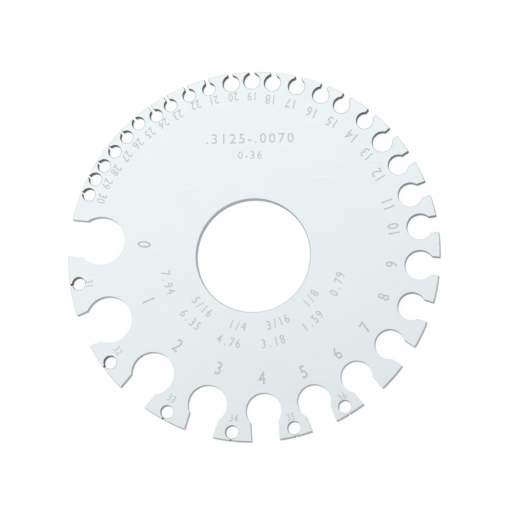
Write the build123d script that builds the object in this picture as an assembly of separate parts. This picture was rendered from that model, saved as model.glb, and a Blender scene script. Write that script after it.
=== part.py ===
from build123d import *
import os
from math import sqrt

# A round sheet metal gauge: one ground steel plate with thirty-seven notches, one for each gauge
# from 0 to 36. It lies with its back face on z = 0 and its numbered face up. The origin is on the
# axis of the centre hole, +X points right and +Y up as the numbered face is looked at.

INCH = 25.4
DISC_DIAMETER = 3.125 * INCH
THICKNESS = 0.09375 * INCH
CENTRE_HOLE_DIAMETER = 0.953125 * INCH
CENTRE_HOLE_CHAMFER = 0.2
RIM_CHAMFER = 0.15

# The standard gives each gauge as the weight of a square foot of iron sheet, in ounces. An inch
# of thickness weighs 640 ounces. Between the gauges listed here the weight falls in even steps.
OUNCES_PER_INCH = 640
STANDARD_OUNCES = ((0, 200), (1, 180), (14, 50), (16, 40), (20, 24), (26, 12), (31, 7), (36, 4.5))

# One row a gauge, from gauge 0 on: the notch's bearing in degrees, anticlockwise from +X, the
# depth of its relief hole's centre below the rim, and the relief drill in 64ths of an inch.
# Gauges 0 to 30 run round the plate in order. The slits of 31 to 36 sit in the teeth between the
# first seven slots.
NOTCHES = (
    (173.5, 6.80, 26),
    (203.2, 6.10, 25),
    (229.3, 6.85, 23),
    (252.9, 6.55, 21),
    (273.8, 6.50, 19),
    (292.4, 5.90, 18),
    (309.9, 5.60, 17),
    (326.1, 4.90, 16),
    (341.2, 4.20, 15),
    (355.7, 4.25, 16),
    (8.9, 3.85, 14),
    (20.4, 4.05, 13),
    (31.4, 3.45, 11),
    (41.0, 3.20, 11),
    (50.2, 2.50, 9),
    (59.5, 2.50, 9),
    (67.2, 2.45, 9),
    (75.7, 2.20, 9),
    (83.7, 2.25, 9),
    (90.5, 1.95, 9),
    (97.3, 2.15, 9),
    (104.8, 2.35, 7),
    (111.6, 2.20, 7),
    (118.5, 2.40, 7),
    (124.3, 2.65, 7),
    (130.4, 1.60, 7),
    (136.2, 2.00, 7),
    (142.3, 2.10, 7),
    (148.1, 1.95, 7),
    (153.3, 1.70, 7),
    (158.7, 1.80, 7),
    (188.3, 1.95, 7),
    (216.3, 1.85, 7),
    (241.0, 1.85, 7),
    (263.1, 1.85, 7),
    (283.2, 1.85, 7),
    (300.8, 1.85, 7),
)
DRILL_STEP = INCH / 64

# The corners where a slot opens into its relief hole are stoned blunt, by less where the slot's
# wall is short.
NECK_RADIUS = 0.25
NECK_SHARE_OF_WALL = 0.5

RIM_RADIUS = DISC_DIAMETER / 2


def slot_width(gauge):
    """Thickness of the sheet that just enters this gauge's slot."""
    spans = zip(STANDARD_OUNCES, STANDARD_OUNCES[1:])
    (low, low_ounces), (high, high_ounces) = next(span for span in spans if gauge <= span[1][0])
    step = (high_ounces - low_ounces) / (high - low)
    ounces = low_ounces + step * (gauge - low)
    return ounces / OUNCES_PER_INCH * INCH


def notch(gauge):
    """Outline that is cut away for one gauge: a relief hole and a parallel slot out past the rim."""
    bearing, relief_depth, relief_drill = NOTCHES[gauge]
    width = slot_width(gauge)
    relief_radius = relief_drill * DRILL_STEP / 2
    relief_centre = RIM_RADIUS - relief_depth
    slot_length = 2 * relief_depth
    neck = relief_centre + sqrt(relief_radius**2 - (width / 2) ** 2)
    relief = Pos(relief_centre, 0) * Circle(relief_radius)
    slot = Pos(relief_centre + slot_length / 2, 0) * Rectangle(slot_length, width)
    outline = relief + slot
    neck_corners = outline.vertices().sort_by(Axis.X)[:2]
    blunting = min(NECK_RADIUS, NECK_SHARE_OF_WALL * (RIM_RADIUS - neck))
    return Rot(0, 0, bearing) * fillet(neck_corners, blunting)


def turned_blank():
    """The disc before its notches are cut: bored, with its rim and its bore chamfered on both faces."""
    disc = extrude(Circle(RIM_RADIUS) - Circle(CENTRE_HOLE_DIAMETER / 2), THICKNESS)
    circles = disc.edges().filter_by(GeomType.CIRCLE).group_by(SortBy.RADIUS)
    disc = chamfer(circles[-1], RIM_CHAMFER)
    circles = disc.edges().filter_by(GeomType.CIRCLE).group_by(SortBy.RADIUS)
    return chamfer(circles[0], CENTRE_HOLE_CHAMFER)


def gauge_plate():
    """The whole gauge: the turned blank with every notch cut right through it."""
    notches = [notch(gauge) for gauge in range(len(NOTCHES))]
    return turned_blank() - [extrude(outline, THICKNESS) for outline in notches]


os.makedirs("parts", exist_ok=True)
export_step(gauge_plate(), "parts/gauge_plate.step")
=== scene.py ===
from math import atan2, cos, degrees, pi, radians, sin

import bmesh
import bpy
from mathutils import Matrix, Vector


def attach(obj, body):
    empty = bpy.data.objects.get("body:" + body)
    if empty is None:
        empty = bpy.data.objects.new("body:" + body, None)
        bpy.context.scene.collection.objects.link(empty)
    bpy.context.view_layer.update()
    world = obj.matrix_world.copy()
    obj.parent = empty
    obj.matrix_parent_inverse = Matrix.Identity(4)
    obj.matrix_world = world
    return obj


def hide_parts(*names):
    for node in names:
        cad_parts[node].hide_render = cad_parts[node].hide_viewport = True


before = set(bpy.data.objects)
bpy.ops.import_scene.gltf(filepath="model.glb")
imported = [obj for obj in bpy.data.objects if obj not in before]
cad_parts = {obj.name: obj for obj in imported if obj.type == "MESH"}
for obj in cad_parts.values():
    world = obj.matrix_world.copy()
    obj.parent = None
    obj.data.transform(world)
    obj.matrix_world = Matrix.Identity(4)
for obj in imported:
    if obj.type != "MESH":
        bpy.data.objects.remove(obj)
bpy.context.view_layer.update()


# The plate: one disc of steel sheet, 3/32 in thick, bored and turned, with 37 notches sawn, milled
# and drilled into its rim. The sharp corners that the cutters leave are broken with a stone. The
# notch walls carry a painted shade for the shadow that a narrow notch holds, from 1 in the shallow
# ones to 0 in the deep ones.
MM = 0.001
RIM_RADIUS = 39.6875 * MM
THICKNESS = 2.38125 * MM
RIM_BAND = 0.1 * MM
BORE_REACH = 20 * MM
EDGE_BREAK = 0.07 * MM
SHALLOW_NOTCH = 4.5 * MM
DEEP_NOTCH = 9.0 * MM
PAINTED_LIT_WITHIN = 35
PAINTED_LIT_SHADE = 0.35
SLIT_LENGTH = 0.5 * MM
SOLDER = 1e-7
FLAT_WITHIN = radians(0.4)
SHARP_FROM = radians(40)
CHAMFER, CUT, TURNED = 1, 2, 3

plate = bpy.data.objects.new("plate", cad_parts["gauge_plate"].data.copy())
bpy.context.scene.collection.objects.link(plate)
if "custom_normal" in plate.data.attributes:
    plate.data.attributes.remove(plate.data.attributes["custom_normal"])
plate.data.materials.clear()


def is_cut(face):
    """Whether a face is a wall of a notch, and not of the bore or the rim."""
    centre = face.calc_center_median()
    reach = Vector((centre.x, centre.y, 0))
    upright = abs(face.normal.z) < 0.1
    rim = reach.length > RIM_RADIUS - RIM_BAND and face.normal.dot(reach.normalized()) > 0.9
    return upright and not rim and reach.length > BORE_REACH


body = bmesh.new()
body.from_mesh(plate.data)
painted_shade = body.faces.layers.float.new("painted_shade")
bmesh.ops.remove_doubles(body, verts=body.verts, dist=SOLDER)
bmesh.ops.dissolve_limit(
    body, angle_limit=FLAT_WITHIN, use_dissolve_boundaries=False, verts=body.verts, edges=body.edges
)
cut = {face: is_cut(face) for face in body.faces}
sharp = [
    edge for edge in body.edges
    if len(edge.link_faces) == 2
    and cut[edge.link_faces[0]] != cut[edge.link_faces[1]]
    and edge.calc_face_angle() > SHARP_FROM
]
waiting = {face for face in body.faces if cut[face]}
while waiting:
    wall, growing = set(), [waiting.pop()]
    while growing:
        face = growing.pop()
        wall.add(face)
        around = {other for edge in face.edges for other in edge.link_faces} & waiting
        waiting -= around
        growing.extend(around)
    reaches = [Vector(vert.co.xy) for face in wall for vert in face.verts]
    # Painted shade of a notch's walls, from its depth: the shallower the notch, the darker they are painted.
    depth = RIM_RADIUS - min(reach.length for reach in reaches)
    from_foot = max(abs(degrees(atan2(reach.x, -reach.y))) for reach in reaches)
    # Painted light: the holes of the shallow slits near the foot of the plate are painted lighter, as where
    # light falls on them.
    painted_lit = depth < SHALLOW_NOTCH and from_foot < PAINTED_LIT_WITHIN
    for face in wall:
        face[painted_shade] = min(1.0, max(0.0, (DEEP_NOTCH - depth) / (DEEP_NOTCH - SHALLOW_NOTCH)))
        if painted_lit and face.calc_center_median().xy.length < RIM_RADIUS - SLIT_LENGTH:
            face[painted_shade] = PAINTED_LIT_SHADE
        face.material_index = CUT
for face in body.faces:
    if not cut[face] and abs(face.normal.z) < 0.99:
        face.material_index = CHAMFER if abs(face.normal.z) > 0.1 else TURNED
broken = bmesh.ops.bevel(
    body, geom=sharp, offset=EDGE_BREAK, offset_type="OFFSET", affect="EDGES", segments=2, profile=0.5,
    material=-1, clamp_overlap=False,
)
for face in broken["faces"]:
    face.material_index = CHAMFER

# The bevel is two strips wide, so two passes carry each wall's painted shade across it.
for strip in range(2):
    for face in broken["faces"]:
        face[painted_shade] = max(other[painted_shade] for edge in face.edges for other in edge.link_faces)
body.to_mesh(plate.data)
body.free()


# The numbers: struck into the face with steel stamps, feet towards the rim. A row gives a gauge's
# bearing in degrees, its radius and its height in mm.
LABELS = {
    0: (173.2, 23.4, 3.0), 1: (202.6, 24.1, 2.9), 2: (229.8, 24.8, 2.9), 3: (253.1, 25.0, 2.9),
    4: (274.1, 26.2, 2.9), 5: (293.1, 27.1, 2.9), 6: (310.0, 27.6, 2.8), 7: (326.4, 28.4, 2.7),
    8: (341.3, 29.1, 2.6), 9: (355.3, 29.4, 2.6), 10: (9.5, 30.2, 2.5), 11: (20.0, 30.5, 2.5),
    12: (32.1, 31.4, 2.4), 13: (41.3, 32.2, 2.3), 14: (50.1, 32.8, 2.3), 15: (59.2, 32.9, 2.2),
    16: (67.6, 33.0, 2.2), 17: (76.0, 33.5, 2.1), 18: (83.6, 33.7, 2.1), 19: (90.3, 34.3, 1.9),
    20: (97.1, 34.5, 1.9), 21: (104.1, 34.6, 1.9), 22: (110.7, 34.9, 1.9), 23: (117.8, 34.6, 1.9),
    24: (123.7, 34.6, 1.9), 25: (129.6, 34.8, 1.9), 26: (135.2, 34.8, 1.9), 27: (141.1, 34.8, 1.9),
    28: (147.3, 34.9, 1.9), 29: (152.9, 35.1, 1.9), 30: (158.4, 34.9, 1.9), 31: (188.9, 35.4, 1.6),
    32: (214.6, 35.0, 1.6), 33: (240.3, 34.8, 1.6), 34: (263.2, 34.8, 1.6), 35: (283.0, 35.4, 1.6),
    36: (301.8, 35.7, 1.6),
}
FIGURE_HEIGHT = 0.729
STAMP_SLOPE = 0.038
STAMP_CLEAR = 0.05 * MM
punches = bmesh.new()


def strike(figures, at, turn, height, back=False, narrow=0.8, spacing=1.1):
    """Sets one row of stamps, centred on a place in mm, its reading direction turned by degrees."""
    text = bpy.data.curves.new("stamp", "FONT")
    text.body = figures
    text.align_x = "CENTER"
    text.resolution_u = 3
    text.space_character = spacing
    text.size = height * MM / FIGURE_HEIGHT
    text.bevel_depth = STAMP_SLOPE * height * MM
    text.bevel_resolution = 0
    text.extrude = STAMP_CLEAR
    text.offset = -STAMP_SLOPE * height * MM
    holder = bpy.data.objects.new("stamp", text)
    bpy.context.scene.collection.objects.link(holder)
    bpy.context.view_layer.update()
    mesh = bpy.data.meshes.new_from_object(holder.evaluated_get(bpy.context.evaluated_depsgraph_get()))
    bpy.data.objects.remove(holder)
    middle = Matrix.Translation((0, -height / 2 * MM, 0.8 * STAMP_CLEAR))
    mesh.transform(Matrix.Diagonal((narrow, 1, 1, 1)) @ middle)
    face = Matrix.Rotation(pi, 4, "Y") if back else Matrix.Translation((0, 0, THICKNESS))
    place = Matrix.Translation((at[0] * MM, at[1] * MM, 0))
    mesh.transform(place @ Matrix.Rotation(radians(turn), 4, "Z") @ face)
    punches.from_mesh(mesh)
    bpy.data.meshes.remove(mesh)


def round_the_axis(bearing, radius):
    return radius * cos(radians(bearing)), radius * sin(radians(bearing))


for gauge, (bearing, radius, height) in LABELS.items():
    strike(str(gauge), round_the_axis(bearing, radius), bearing + 90, height)

# Round the middle are plain numbers, struck one figure at a time: the range of the slots in inches
# and in gauges above the bore, and common thicknesses in two arcs below it.
strike(".3125-.0070", (-0.7, 25.3), 0, 2.2, narrow=1.0, spacing=1.3)
strike("0-36", (-0.7, 21.7), 0, 1.7, narrow=1.0, spacing=1.3)
ARC_HEIGHT = 2.0
ARCS = (
    ("5/16   1/4   3/16   1/8", 272.5, 15.3, 5.0),
    ("7.94   6.35   4.76   3.18   1.59   0.79", 268.5, 19.0, 4.1),
)
for figures, middle, radius, step in ARCS:
    start = middle - step * (len(figures) - 1) / 2
    for place, figure in enumerate(figures):
        if figure != " ":
            bearing = start + step * place
            strike(figure, round_the_axis(bearing, radius), bearing + 90, ARC_HEIGHT)

# On the back, each notch has its width in inches beside it, read along the radius.
STANDARD_OUNCES = ((0, 200), (1, 180), (14, 50), (16, 40), (20, 24), (26, 12), (31, 7), (36, 4.5))
OUNCES_PER_INCH = 640
BACK_HEIGHT = 1.5
BACK_INSET = 1.6
for gauge, label in LABELS.items():
    bearing, radius = label[:2]
    spans = zip(STANDARD_OUNCES, STANDARD_OUNCES[1:])
    (low, low_ounces), (high, high_ounces) = next(span for span in spans if gauge <= span[1][0])
    ounces = low_ounces + (high_ounces - low_ounces) / (high - low) * (gauge - low)
    inches = f"{ounces / OUNCES_PER_INCH:.4f}".lstrip("0")
    strike(inches, round_the_axis(bearing, radius - BACK_INSET), bearing, BACK_HEIGHT, back=True)

bmesh.ops.remove_doubles(punches, verts=punches.verts, dist=SOLDER)
tool = bpy.data.objects.new("punches", bpy.data.meshes.new("punches"))
punches.to_mesh(tool.data)
punches.free()
bpy.context.scene.collection.objects.link(tool)


class Wire:
    """A shader socket with arithmetic: each expression on it adds the Math nodes that it needs."""

    def __init__(self, nodes, socket):
        self.nodes, self.socket = nodes, socket

    def maths(self, operation, *values, clamp=False):
        return self.nodes.add("Math", {"operation": operation, "use_clamp": clamp}, *values)

    def __add__(self, other):
        return self.maths("ADD", self, other)

    def __sub__(self, other):
        return self.maths("SUBTRACT", self, other)

    def __rsub__(self, other):
        return self.maths("SUBTRACT", other, self)

    def __mul__(self, other):
        return self.maths("MULTIPLY", self, other)

    __radd__ = __add__
    __rmul__ = __mul__

    def clamped(self):
        return self.maths("ADD", self, 0.0, clamp=True)

    def between(self, low, high):
        """0 up to the low value, 1 from the high one, and an even slope from one to the other."""
        return ((self - low) * (1 / (high - low))).clamped()


class Nodes:
    """The shader nodes of one finish, or of the room."""

    def __init__(self, tree):
        self.tree = tree
        tree.nodes.clear()

    def add(self, kind, settings=None, *values, out=0, **named):
        """One node: its settings, then the values or wires of its sockets. Gives one output."""
        made = self.tree.nodes.new("ShaderNode" + kind)
        for key, value in (settings or {}).items():
            setattr(made, key, value)
        for key, value in [*enumerate(values), *named.items()]:
            socket = made.inputs[key.replace("_", " ") if isinstance(key, str) else key]
            if isinstance(value, Wire):
                self.tree.links.new(value.socket, socket)
            else:
                socket.default_value = value
        return Wire(self, made.outputs[out])

    def mix(self, factor, first, second):
        """The first colour at 0, the second at 1."""
        made = self.tree.nodes.new("ShaderNodeMix")
        made.data_type = "RGBA"
        for key, value in ((0, factor), (6, first), (7, second)):
            if isinstance(value, Wire):
                self.tree.links.new(value.socket, made.inputs[key])
            else:
                made.inputs[key].default_value = value
        return Wire(self, made.outputs[2])

    def close(self, surface, kind="OutputMaterial"):
        output = self.tree.nodes.new("ShaderNode" + kind)
        self.tree.links.new(surface.socket, output.inputs[0])

    def noise(self, stretch, turn=0.0, detail=2.0):
        """Noise of 0 to 1 over the object, its grain so many to the metre along each axis."""
        place = self.add("TexCoord", out="Object")
        place = self.add("Mapping", {}, place, (0, 0, 0), (0, 0, radians(turn)), stretch)
        return self.add("TexNoise", {}, Vector=place, Scale=1.0, Detail=detail, Roughness=0.6)

    def metal(self, colour, roughness, relief, height):
        """Bare metal with a relief of 0 to 1 standing so many metres high."""
        bump = self.add("Bump", {}, Strength=1.0, Distance=height, Height=relief)
        steel = self.add("BsdfPrincipled", Base_Color=colour, Metallic=1.0, Roughness=roughness, Normal=bump)
        self.close(steel)


def finish(name):
    """A new material and its empty node tree."""
    material = bpy.data.materials.new(name)
    material.use_nodes = True
    return material, Nodes(material.node_tree)


# The faces are ground: fine parallel lines, soft clouds where the wheel cut harder, a few stray
# scratches across them and the odd pit.
ground, nodes = finish("ground_face")
lines = nodes.noise((140, 11000, 1), turn=14, detail=4.0)
clouds = nodes.noise((70, 110, 1), detail=3.0)
one_way = nodes.noise((90, 5200, 1), turn=52, detail=1.0).between(0.70, 0.76)
other_way = nodes.noise((70, 4600, 1), turn=-38, detail=1.0).between(0.71, 0.77)
scratch = one_way.maths("MAXIMUM", one_way, other_way)
pits = nodes.noise((2600, 2600, 1), detail=1.0).between(0.76, 0.80)
colour = nodes.mix(clouds, (0.655, 0.71, 0.72, 1), (0.72, 0.765, 0.78, 1))
colour = nodes.mix(lines.between(0.3, 0.7) * 0.25, colour, (0.59, 0.64, 0.65, 1))
colour = nodes.mix(scratch * 0.35, colour, (0.85, 0.88, 0.89, 1))
colour = nodes.mix(pits * 0.5, colour, (0.30, 0.31, 0.31, 1))
rough = 0.29 + clouds * 0.06 + lines * 0.06 - scratch * 0.06
nodes.metal(colour, rough, lines * 0.7 + (1.0 - scratch) * 0.3 - pits * 0.5, 1.5e-6)

# The chamfers are turned, or stoned by hand in the notches, and take the painted shade of the notches, so
# they are painted darker in the narrow ones.
chamfer, nodes = finish("turned_chamfer")
painted_shade = nodes.add("Attribute", {"attribute_name": "painted_shade"}, out="Fac")
rings = nodes.noise((60, 60, 21000), detail=2.0)
colour = nodes.mix(rings, (0.66, 0.72, 0.73, 1), (0.76, 0.80, 0.81, 1))
# Painted shade, carried over from the notch walls: near black in the narrow notches.
colour = nodes.mix(painted_shade, colour, (0.03, 0.03, 0.03, 1))
nodes.metal(colour, 0.22 + rings * 0.08, rings, 1e-6)

# The bore and the rim are turned, and have dulled.
turned, nodes = finish("turned_wall")
rings = nodes.noise((60, 60, 16000), detail=3.0)
clouds = nodes.noise((300, 300, 300), detail=2.0)
colour = nodes.mix(rings * 0.6 + clouds * 0.4, (0.17, 0.18, 0.19, 1), (0.30, 0.31, 0.32, 1))
nodes.metal(colour, 0.27 + clouds * 0.1, rings, 2e-6)

# The walls of the notches: the narrow ones are painted nearly black, a painted shade for the shadow
# they hold, apart from the holes of the slits at the foot of the plate, which are painted lighter.
cut_wall, nodes = finish("cut_wall")
painted_shade = nodes.add("Attribute", {"attribute_name": "painted_shade"}, out="Fac")
marks = nodes.noise((9000, 9000, 120), detail=3.0)
clouds = nodes.noise((500, 500, 500), detail=2.0)
bare = nodes.mix(marks * 0.5 + clouds * 0.5, (0.24, 0.25, 0.26, 1), (0.38, 0.39, 0.40, 1))
# The painted shade: a near-black colour that stands in for the shadow inside narrow notches.
painted_dark = nodes.mix(clouds, (0.006, 0.006, 0.006, 1), (0.022, 0.021, 0.020, 1))
nodes.metal(nodes.mix(painted_shade, bare, painted_dark), 0.33 + marks * 0.12, marks, 3e-6)

# The stamps burnish the lips of each figure; the floor of each groove is painted darker with depth, a
# painted shade of the recess, mottled by noise.
groove, nodes = finish("struck_groove")
height = nodes.add("SeparateXYZ", {}, nodes.add("TexCoord", out="Object"), out="Z")
painted_groove_shade = height.maths("MINIMUM", height, THICKNESS - height).between(0.005 * MM, 0.07 * MM)
groove_mottle = nodes.noise((1800, 1800, 1800), detail=2.0)
# Painted shade: the deeper the groove runs below the face, the darker it is painted.
colour = nodes.mix(painted_groove_shade * (0.7 + groove_mottle * 0.5), (0.76, 0.80, 0.81, 1), (0.56, 0.60, 0.61, 1))
nodes.metal(colour, 0.32 + groove_mottle * 0.15, groove_mottle, 3e-6)

for material in (ground, chamfer, cut_wall, turned):
    plate.data.materials.append(material)
tool.data.materials.append(groove)

SMOOTH_UNDER = radians(35)
FLAT_FACE = 0.9999
strikes = plate.modifiers.new("strikes", "BOOLEAN")
strikes.object = tool
strikes.operation = "DIFFERENCE"
strikes.solver = "EXACT"
strikes.material_mode = "TRANSFER"
struck = bpy.data.meshes.new_from_object(plate.evaluated_get(bpy.context.evaluated_depsgraph_get()))
plate.modifiers.clear()
plate.data = struck
bpy.data.objects.remove(tool)
plate.data.shade_smooth()
plate.data.set_sharp_from_angle(angle=SMOOTH_UNDER)
for polygon in plate.data.polygons:
    polygon.use_smooth = abs(polygon.normal.z) < FLAT_FACE
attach(plate, "root")
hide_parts("gauge_plate")


# The floor: a plain white table top that the gauge lies flat on.
FLOOR_SIZE = 4.0
FLOOR_GAP = 0.01 * MM
floor = bpy.data.objects.new("floor", bpy.data.meshes.new("floor"))
bpy.context.scene.collection.objects.link(floor)
sheet = bmesh.new()
bmesh.ops.create_grid(sheet, x_segments=1, y_segments=1, size=FLOOR_SIZE / 2)
bmesh.ops.translate(sheet, verts=sheet.verts, vec=(0, 0, -FLOOR_GAP))
sheet.to_mesh(floor.data)
sheet.free()
white, nodes = finish("white_table")
seen = nodes.add("LightPath", out="Is Camera Ray")
for ray in ("Is Glossy Ray", "Is Transmission Ray"):
    seen = seen.maths("MAXIMUM", seen, nodes.add("LightPath", out=ray))
paint = nodes.add("BsdfDiffuse", Color=(0.9, 0.9, 0.9, 1))
glow = nodes.add("Emission", Color=(1, 1, 1, 1), Strength=1.02)
nodes.close(nodes.add("MixShader", {}, seen * 0.93, paint, glow))
floor.data.materials.append(white)


# The studio: a white room, dimmer near the horizon on the camera's side, and a soft box overhead,
# towards the top of the plate and a little left.
room = bpy.data.worlds.new("room")
bpy.context.scene.world = room
room.use_nodes = True
nodes = Nodes(room.node_tree)
TOWARDS = radians(-55)
NEAR_SIDE = (cos(TOWARDS), sin(TOWARDS), 0)
ROOM = 0.94
DIM_SIDE = 0.6
way_out = nodes.add("TexCoord", out="Generated")
near = nodes.add("VectorMath", {"operation": "DOT_PRODUCT"}, way_out, NEAR_SIDE, out="Value")
low = 1.0 - nodes.add("SeparateXYZ", {}, way_out, out="Z").between(0.1, 0.4)
strength = ROOM - near.between(-0.5, 0.2) * low * DIM_SIDE
nodes.close(nodes.add("Background", Color=(1, 1, 1, 1), Strength=strength), "OutputWorld")

BOX_RADIANCE = 0.44
soft_box = bpy.data.lights.new("soft_box", "AREA")
soft_box.shape = "RECTANGLE"
soft_box.size = 0.9
soft_box.size_y = 0.5
soft_box.energy = BOX_RADIANCE * pi * soft_box.size * soft_box.size_y
lamp = bpy.data.objects.new("soft_box", soft_box)
lamp.location = (-0.12, 0.29, 0.50)
lamp.rotation_euler = (0, 0, radians(22))
lamp.visible_camera = False
bpy.context.scene.collection.objects.link(lamp)


# The camera: a long lens, 0.82 m away, 11 degrees off the plate's axis towards the lower right.
DISTANCE = 0.82
TILT = radians(11)
SENSOR = 36
FOCAL_PIXELS = 3869
PICTURE_PIXELS = 512
AIM = Vector((0.60, -0.14, 0)) * MM + Vector((0, 0, THICKNESS))
lens = bpy.data.cameras.new("camera")
camera = bpy.data.objects.new("camera", lens)
bpy.context.scene.collection.objects.link(camera)
off_axis = Vector((sin(TILT) * cos(TOWARDS), sin(TILT) * sin(TOWARDS), cos(TILT)))
right = Vector((0, 1, 0)).cross(off_axis).normalized()
up = off_axis.cross(right)
facing_plate = Matrix((right, up, off_axis)).transposed().to_4x4()
camera.matrix_world = Matrix.Translation(AIM + off_axis * DISTANCE) @ facing_plate
lens.sensor_width = SENSOR
lens.lens = SENSOR * FOCAL_PIXELS / PICTURE_PIXELS
lens.clip_start = 0.05
lens.clip_end = 20
bpy.context.scene.camera = camera
bpy.context.scene.view_settings.view_transform = "Standard"
